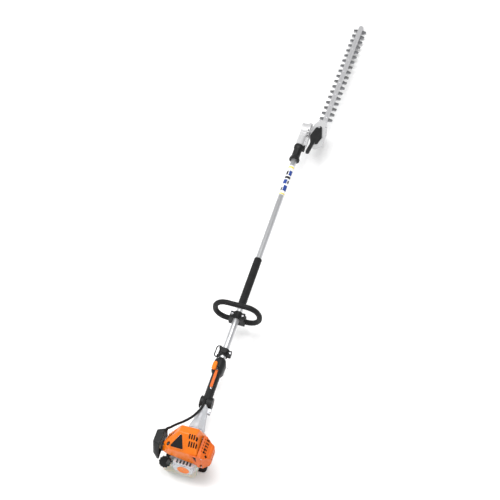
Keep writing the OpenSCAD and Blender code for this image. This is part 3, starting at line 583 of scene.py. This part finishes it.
def washer(at, way, r_in, r_out, high):
    ring = lathe([(0, r_in), (0, r_out), (high * 0.7, r_out), (high, r_out - 0.4), (high, r_in)],
                 axis=(0, 0, 1), sides=48)
    return turned(ring, Matrix.Translation(at) @ AXIS_TURN[way])


def round_about_x(obj, degrees):
    return turned(obj, Matrix.Rotation(math.radians(degrees), 4, "X"))


# ---- engine covers -------------------------------------------------------

# Plane of the plug cap on the shroud's sloping back, and the shroud's corners, as in the CAD model
CAP_PLANE = Matrix.Translation((-29.7, 0, 103.7)) @ Matrix.Rotation(math.radians(-45), 4, "Y")
CAP_CORNERS = [(2, 28), (-46, 16), (-46, 56)]
SHROUD = [(14, -26, 93), (12, 36, 95), (-17, 36, 107), (-17, -23, 106), (-66, -41, 56), (-65, 60, 56),
          (-67, -41, -12), (-66, 62, 12.5), (40, -41, 12), (48, 54, 18), (18, -40, 53), (26, 46, 60),
          (-60, 88, 18), (6, 86, 12), (-48, 88.5, 44), (-10, 86, 33.5)]
FILTER = [(-74, 106, -8), (4, 106, 0), (-60, 106, 54), (0, 106, 54), (-70, 124, -2), (-6, 127, 6),
          (-52, 128, 48), (-6, 128, 48), (-84, 107, -10), (-84, 107, 6), (-80, 114, 2)]
TANK = [(-72, -26, -96.8), (24, -26, -96.8), (-72, 76, -96.8), (24, 76, -96.8),
        (-60, -26, -79), (24, -26, -79), (-60, 76, -79), (24, 76, -79)]
SHROUD_SCREW = (-54, 72)
COVER = [(-84, -56, 19.4), (-44, -43, 21.4), (-40, -78, 21.4), (16, -64, 19.4), (-78, -70, 19.4),
         (6, -53, 19.4)]


def swollen(corners, r):
    return hull([(x, y, z, r) for x, y, z in corners])


def parts_of(shell, regions):
    """Cuts each region down to what it shares with the shell, and uses the shell up."""
    for region in regions:
        clip(region, shell)
    drop(shell)
    return regions


def layer(corners, r_out, r_in, regions):
    """The parts of a thin layer round a cover that lie in the given regions."""
    return parts_of(cut(swollen(corners, r_out), [swollen(corners, r_in)]), regions)


def rounded(corners, r, steps=8):
    """A convex outline with round corners of radius r about each corner point, counter-clockwise."""
    pts = [Vector(c) for c in corners]
    centre = sum(pts, Vector((0, 0))) / len(pts)
    pts.sort(key=lambda p: math.atan2(p.y - centre.y, p.x - centre.x))
    out = []
    for i, p in enumerate(pts):
        before, after = pts[i - 1], pts[(i + 1) % len(pts)]
        a = math.atan2(p.y - before.y, p.x - before.x) - math.pi / 2
        b = math.atan2(after.y - p.y, after.x - p.x) - math.pi / 2
        while b < a:
            b += 2 * math.pi
        for k in range(steps + 1):
            t = a + (b - a) * k / steps
            out.append((p.x + r * math.cos(t), p.y + r * math.sin(t)))
    return out


def make_shroud():
    """Rim round the plug cap, ring round the screw, two seam grooves, and near-black sheets behind the slots as
    painted shade.
    """
    body = from_node("engine_shroud")
    rim = cut(prism(rounded(CAP_CORNERS, 7.6), -5, 2.0, CAP_PLANE),
              [prism(rounded(CAP_CORNERS, 4.6), -30, 30, CAP_PLANE)])
    add(body, [rim])
    x, y = SHROUD_SCREW
    ring = cut(rod((x, y, 30), (x, y, 90), 11), [rod((x, y, 20), (x, y, 95), 7.4)])
    add(body, layer(SHROUD, 9.0, 6.0, [ring]))
    seams = [block(-95, 60, -60, 100, 49.4, 50.6), block(9.4, 10.6, -60, 100, -30, 120)]
    cut(body, layer(SHROUD, 9.0, 7.0, seams))
    skin(soften(body, 0.95, 3, 0.3), "engine_shroud", mat_orange)
    # Painted shade: near-black sheets just inside the shroud, behind its slots, where the openings would be dark
    # from shade.
    for name, region in (("shroud_painted_shade", (-64, -6, -48, -3, 58, 118)),
                         ("shroud_side_painted_shade", (-62, 4, 50, 84, 36, 118))):
        place(layer(SHROUD, 4.6, 3.4, [block(*region)])[0], name, ENGINE, BODY_OF["engine_shroud"],
              mat_painted_shade, "black_plastic")


def guard_plan(t):
    """The guard's outline from above, at depth t under its surface, as in the CAD model."""
    return [(-79 + t, -48 + t), (18 - t, -48 + t), (14 - t, -64), (-6 - t, -98 + t), (-56 + t, -98 + t),
            (-79 + t, -72)]


def guard_side(t):
    """The guard's outline along the shaft, at depth t under its surface."""
    return [(-48 + t, 68 - t), (-62, 66 - t), (-92 + t, 42 - t), (-101, 34), (-101, 0), (-92 + t, -14 + t),
            (-48 + t, -14 + t)]


# Takes an outline in Y and Z, extruded along X from x = -100
ALONG_X = Matrix(((0, 0, 1, -100), (1, 0, 0, 0), (0, 1, 0, 0), (0, 0, 0, 1)))
# Plane of the guard's upper slope, round its exhaust outlet
SLOPE = Matrix(((1, 0, 0, -62), (0, 0.781, -0.625, -79), (0, 0.625, 0.781, 52.4), (0, 0, 0, 1)))


def guard_form(t):
    """The guard as a solid, at depth t under its surface."""
    form = prism(guard_plan(t), -40, 80)
    other = prism(guard_side(t), 0, 160, ALONG_X)
    clip(form, other)
    drop(other)
    return form


def guard_layer(t_out, t_in, regions):
    """The parts of a layer between two depths under the guard's surface, in the given regions."""
    return parts_of(cut(guard_form(t_out), [guard_form(t_in)]), regions)


def make_guard():
    """Raised frame lines, slats behind the slots, a framed diamond outlet, a wing on the rear wall, and near-black
    sheets of painted shade behind the slots and in the wing's triangle.
    """
    body = from_node("muffler_guard")
    outlet = [(-10, -3), (2, -11), (10, 1), (-1, 10)]
    small = [(x * 0.72, y * 0.72) for x, y in outlet]
    for region in (
            (-82, -74.5, -75, -69, -40, 90), (-82, -74.5, -54, -48, -40, 90),
            (-90, 40, -64.5, -60, 40, 90), (-90, 40, -97, -89, 38, 48),
            (-30.5, -27.5, -110, -60, 36, 90), (8, 26, -66, -61, -40, 90),
            (-90, 40, -110, -48, -16, -9.5)):
        add(body, guard_layer(-1.1, 2.0, [block(*region)]))
    for y in (-63.4, -68.2, -73):
        add(body, guard_layer(0.6, 2.4, [block(-57, 2, y, y + 1.6, 30, 90)]))
    frame_ring = cut(prism(outlet, -3, 1.4, SLOPE), [prism(small, -9, 9, SLOPE)])
    cut(body, [prism(small, -9, 9, SLOPE)])
    add(body, [frame_ring])
    wing = prism([(-18, 60), (-22, 62), (-50, 62), (-50, -10), (-47, -10)], 20.6, 24.9, ALONG_X)
    cut(wing, [prism([(-29, 55), (-44.5, 55), (-44.5, 14)], 10, 23.4, ALONG_X)])
    add(body, [wing])
    skin(soften(body, 0.95, 3, 0.3), "muffler_guard", mat_guard)
    # Painted shade: a near-black sheet inside the guard behind its slots, and one in the wing's triangular recess.
    guard_shade_sheet = guard_layer(3.6, 4.8, [block(-70, 2, -90, -55, 30, 90)])[0]
    place(guard_shade_sheet, "guard_painted_shade", ENGINE, BODY_OF["muffler_guard"], mat_painted_shade, "black_plastic")
    wing_shade_sheet = prism([(-30, 54), (-44, 54), (-44, 16)], 22.7, 23.3, ALONG_X)
    place(wing_shade_sheet, "guard_wing_painted_shade", ENGINE, BODY_OF["muffler_guard"], mat_painted_shade, "black_plastic")


def make_filter_cover():
    """Upright grooves and a ring groove round the middle."""
    body = from_node("air_filter_cover")
    grooves = [block(x, x + 2.2, 100, 140, -30, 90) for x in (-58, -46, -14, -2)]
    x, z = -30, 24
    grooves.append(cut(rod((x, 110, z), (x, 145, z), 13), [rod((x, 100, z), (x, 150, z), 11)]))
    for groove in grooves:
        cut(body, layer(FILTER, 8, 6.1, [groove]))
    skin(soften(body, 0.9), "air_filter_cover", mat_black)


def make_tank():
    """The welded seam round the tank."""
    body = from_node("fuel_tank")
    cut(body, layer(TANK, 18.5, 16.2, [block(-120, 60, -60, 110, -89, -87.6)]))
    skin(soften(body, 1.3), "fuel_tank", mat_tank)


def make_starter():
    """A raised ring round the badge, two grooves beside it, and the stepped badge."""
    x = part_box("starter_housing")[0].x / MM
    badge_y, badge_z = 2, -36
    body = from_node("starter_housing")
    add(body, [washer((x + 0.2, badge_y, badge_z), "-x", 25, 28, 1.5)])
    cut(body, [block(x - 2, x + 0.8, y, y + 4, -54, -12) for y in (-32, 33)])
    skin(soften(body, 0.9), "starter_housing", mat_casting)
    badge = lathe([(0, 3.2), (0, 23.8), (0.9, 23.8), (1.5, 23.0), (1.5, 19.5), (1.0, 19.0), (0.8, 9),
                   (1.5, 8.4), (1.5, 3.2)], axis=(0, 0, 1), sides=64)
    turned(badge, Matrix.Translation((x - 0.05, badge_y, badge_z)) @ AXIS_TURN["-x"])
    skin(badge, "starter_badge", mat_accent)


def make_clutch_housing():
    """Ribs along the cone, and a flange with a groove."""
    body = from_node("clutch_housing")
    outline = [(58, 26), (58, 33.4), (80, 31.2), (110, 24.2), (138, 21.4), (149, 16), (110, 18)]
    ribs = 8
    for k in range(ribs):
        rib = prism(outline, -1.3, 1.3, Matrix.Rotation(math.radians(90), 4, "X"))
        add(body, [round_about_x(rib, 360 / ribs * k + 12)])
    add(body, [lathe([(58, 24), (58, 34), (61, 34), (63, 31), (63, 24)])])
    cut(body, [lathe([(59.2, 33.1), (59.2, 36), (60.0, 36), (60.0, 33.1)])])
    skin(soften(body, 0.9), "clutch_housing", mat_casting)


def ring_groove(x, wide, r_in, r_out):
    """The ring that cuts a groove round the shaft's axis."""
    return lathe([(x, r_in), (x, r_out), (x + wide, r_out), (x + wide, r_in)])


def make_handles():
    """Finger grooves round both halves."""
    rings = [ring_groove(x, 2.2, 16.7, 22) for x in range(232, 300, 8)]
    for node in ("handle_left", "handle_right"):
        body = from_node(node)
        cut(body, [link("ring", ring.data.copy()) for ring in rings])
        skin(soften(body, 0.8), node, mat_grip)
    for ring in rings:
        drop(ring)


def make_lock_sleeve():
    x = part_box("lock_sleeve")[0].x / MM
    body = from_node("lock_sleeve")
    cut(body, [ring_groove(x + at, 2, 17.1, 24) for at in range(22, 58, 5)])
    skin(soften(body, 0.7), "lock_sleeve", mat_black)


def make_gearbox_cover():
    """Slanting grooves, side by side about the cover's middle."""
    body = from_node("gearbox_cover", HEAD)
    slant = Matrix.Rotation(math.radians(58), 4, "Z")
    grooves = []
    for k in range(-3, 4):
        at = Matrix.Translation((-34 + 6.2 * k, -62 - 3 * k, 18.8))
        grooves.append(turned(block(-60, 60, -0.9, 0.9, -5, 40), at @ slant))
    cut(body, layer(COVER, 10, 8.3, grooves))
    skin(soften(body, 0.65), "gearbox_cover", mat_black, HEAD)


def simple_skins():
    """CAD shapes that only need their moulded fillets and their finish."""
    for node, voxel, material in (
            ("support_foot", 1.2, mat_black), ("fuel_cap", 0.8, mat_black),
            ("spark_plug_cap", 0.7, mat_black), ("choke_lever", 0.4, mat_black),
            ("primer_bulb", 0.4, mat_rubber), ("starter_grip", 0.5, mat_black),
            ("throttle_trigger", 0.5, mat_guard), ("trigger_lockout", 0.5, mat_guard),
            ("stop_switch", 0.5, mat_accent), ("ring_clamp", 0.7, mat_black),
            ("carrying_ring", 0.5, mat_black), ("loop_handle", 1.2, mat_rubber),
            ("loop_clamp", 0.9, mat_black)):
        skin(soften(from_node(node), voxel), node, material)
    for node, voxel, material in (
            ("gear_housing", 0.9, mat_head), ("quadrant", 0.7, mat_head),
            ("blade_gear_housing", 1.0, mat_head), ("base_plate", 0.8, mat_head),
            ("adjusting_lever", 0.6, mat_black)):
        skin(soften(from_node(node, HEAD), voxel), node, material, HEAD)


def make_conduit():
    """The throttle cable's sleeve, on the CAD model's route, with a ferrule at each end."""
    radius, far_ferrule, near_ferrule = 4.95, 5.9, 5.7
    route = [(190, 4, 17.4), (178, 4, 17.4), (165, 4, 21.8), (146, 7, 24), (128, 13, 27), (109, 21, 30),
             (90, 31, 35), (64, 50, 42), (38, 73, 50), (16, 88, 59), (5, 96, 65), (0, 98.5, 59.5)]
    path = smooth_path(route, 6)
    cable = tube(path, radius, 24)
    add(cable, [rod(path[-1], path[-5], far_ferrule), rod(path[8], path[12], near_ferrule)])
    skin(bevelled(cable, 0.3, 2, 50), "throttle_conduit", mat_rubber)


def make_hose():
    """The foam grip: rounded ends, a groove near each end, and shallow rings between them."""
    low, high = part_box("hose_grip")
    x1, x2 = low.x / MM, high.x / MM
    r, inner = (high.z - low.z) / 2 / MM, 12.75
    profile = [(x1, inner), (x1, r - 1.5), (x1 + 1.5, r), (x1 + 7, r), (x1 + 8.5, r - 0.8), (x1 + 10, r)]
    spaces = 12
    for k in range(1, spaces):
        at = x1 + 10 + (x2 - x1 - 20) * k / spaces
        profile += [(at - 1.2, r), (at, r - 0.5), (at + 1.2, r)]
    profile += [(x2 - 10, r), (x2 - 8.5, r - 0.8), (x2 - 7, r), (x2 - 1.5, r), (x2, r - 1.5), (x2, inner)]
    skin(bevelled(lathe(profile), 0.4, 2), "hose_grip", mat_hose)


def patch(x1, x2, a1, a2, r1, r2):
    """A curved block on the shaft, between two angles measured from the top towards +Y."""
    steps = 14
    angles = [math.radians(a1 + (a2 - a1) * k / steps) for k in range(steps + 1)]
    bm = bmesh.new()
    rows = []
    for x in (x1, x2):
        for r in (r1, r2):
            rows.append([bm.verts.new((x, r * math.sin(a), r * math.cos(a))) for a in angles])
    for a, b in ((0, 1), (1, 3), (3, 2), (2, 0)):
        for k in range(steps):
            bm.faces.new((rows[a][k], rows[a][k + 1], rows[b][k + 1], rows[b][k]))
    for k in (0, steps):
        bm.faces.new((rows[0][k], rows[1][k], rows[3][k], rows[2][k]))
    bmesh.ops.recalc_face_normals(bm, faces=bm.faces)
    return from_bmesh("patch", bm)


def make_label():
    """Printed blocks of plain colour, nothing that can be read."""
    low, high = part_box("label_sleeve")
    x, r = low.x / MM, (high.z - low.z) / 2 / MM
    prints = {
        "label_yellow": (mat_yellow, [(3, 9, -80, 80), (150, 158, -80, 80)]),
        "label_blue": (mat_blue, [(22, 52, -70, 10), (60, 84, -20, 70), (108, 134, -70, 0)]),
        "label_ink": (mat_ink, [(22, 40, 22, 70), (64, 80, -70, -32), (90, 102, -70, 70),
                                (110, 132, 14, 70)]),
    }
    for name, (material, blocks) in prints.items():
        shape = merge([patch(x + a, x + b, c, d, r - 0.02, r + 0.06) for a, b, c, d in blocks])
        place(shape, name, ENGINE, BODY_OF["label_sleeve"], material, SLOT_OF["label_sleeve"])


def place_screws(screws, name, matrix, body):
    place(merge(screws), name, matrix, body, mat_screw, "screw_steel")


def make_screws():
    place(screw((*SHROUD_SCREW, 62), "z", 4.2), "shroud_screw", ENGINE, "frame", mat_dark, "dark_plastic")
    engine = [screw((-98, y, z), "-x", 2.8) for y, z in ((-29, -14), (37, -14), (-20, -56), (27, -56))]
    engine += [screw((-78.4, -66, z), "-x", 2.6) for z in (54, -6)]
    for k in range(4):
        engine.append(round_about_x(screw((52, 36.4, 0), "x", 2.6), 90 * k + 45))
    place_screws(engine, "engine_screws", ENGINE, "frame")
    handle = [screw((x, -16.2, -6), "-y", 2.6, 1.8) for x in (236, 300)]
    handle.append(screw((364, -33.0, -2), "-y", 2.8, 1.8))
    place_screws(handle, "handle_screws", ENGINE, "frame")
    circle = 27
    gear = [screw((PIVOT_X + circle * math.cos(a), 15, circle * math.sin(a)), "y", 2.6)
            for a in (math.radians(d) for d in (30, 100, 170, 240, 310))]
    gear.append(screw((PIVOT_X - 70, -20, 9), "z", 2.6))
    place_screws(gear, "gear_screws", ENGINE, "frame")
    head = [screw((x, y, 18.2), "z", 3.0)
            for x, y in ((62, -78), (30, -87), (62, -52), (-36, -86), (-62, -64))]
    head.append(screw((12, -60, 26.4), "z", 5.6, 3.2))
    place_screws(head, "head_screws", HEAD, "head")


def make_tilt_cap():
    """Cap over the tilt axis with a raised ring, on the far side of the gear housing."""
    cap = lathe([(0, 0), (0, 17), (1.4, 17), (2.4, 15.6), (2.4, 9), (1.6, 8.2), (1.6, 0)], axis=(0, 0, 1))
    turned(cap, Matrix.Translation((PIVOT_X, 14.8, 0)) @ AXIS_TURN["y"])
    place(cap, "tilt_cap", ENGINE, "frame", mat_head, "head_casting")


dress_cad()
make_shroud()
make_guard()
make_filter_cover()
make_tank()
make_starter()
make_clutch_housing()
make_handles()
make_lock_sleeve()
make_gearbox_cover()
simple_skins()
make_conduit()
make_hose()
make_label()
make_screws()
make_tilt_cap()


# ---- floor, light and camera ---------------------------------------------

def make_stage():
    """Pale floor just under the object, and an even white surround."""
    bm = bmesh.new()
    bmesh.ops.create_grid(bm, x_segments=1, y_segments=1, size=14)
    floor = from_bmesh("floor", bm)
    floor.location = (1.0, 0, cad_low.z - 0.0004)
    s = Shader("pale_floor")
    s.set(Base_Color=(0.97, 0.97, 0.97, 1), Roughness=0.9)
    floor.data.materials.append(s.material)
    world = bpy.data.worlds.new("studio")
    bpy.context.scene.world = world
    world.use_nodes = True
    background = world.node_tree.nodes["Background"]
    background.inputs["Color"].default_value = (1, 1, 1, 1)
    background.inputs["Strength"].default_value = 0.55
    bpy.context.scene.view_settings.view_transform = "Standard"


def area_light(name, at, towards, size, energy):
    lamp = bpy.data.lights.new(name, "AREA")
    lamp.shape = "DISK"
    lamp.size = size
    lamp.energy = energy
    obj = bpy.data.objects.new(name, lamp)
    bpy.context.scene.collection.objects.link(obj)
    obj.location = at
    obj.rotation_euler = (Vector(towards) - Vector(at)).to_track_quat("-Z", "Y").to_euler()


def make_camera():
    """High behind the engine, looking along the shaft to the cutter."""
    azimuth, elevation, distance = math.radians(-73.2), math.radians(55.2), 6.592
    aim = Vector((0.930, 0.0445, SHAFT_Z + 0.009))
    back = Vector((math.sin(azimuth) * math.cos(elevation), -math.cos(azimuth) * math.cos(elevation),
                   math.sin(elevation)))
    data = bpy.data.cameras.new("camera")
    data.lens = 113.8
    data.sensor_width = 36
    data.clip_start = 0.1
    data.clip_end = 60
    camera = bpy.data.objects.new("camera", data)
    bpy.context.scene.collection.objects.link(camera)
    camera.location = aim + back * distance
    camera.rotation_euler = (-back).to_track_quat("-Z", "Y").to_euler()
    bpy.context.scene.camera = camera


make_stage()
area_light("key", (0.2, 3.4, 4.4), (0.6, 0, 0.1), 2.0, 120)
area_light("fill", (-2.6, -1.6, 2.6), (0.4, 0, 0.1), 3.2, 35)
area_light("top", (1.2, 0.2, 5.0), (0.9, 0, 0), 3.4, 150)
make_camera()
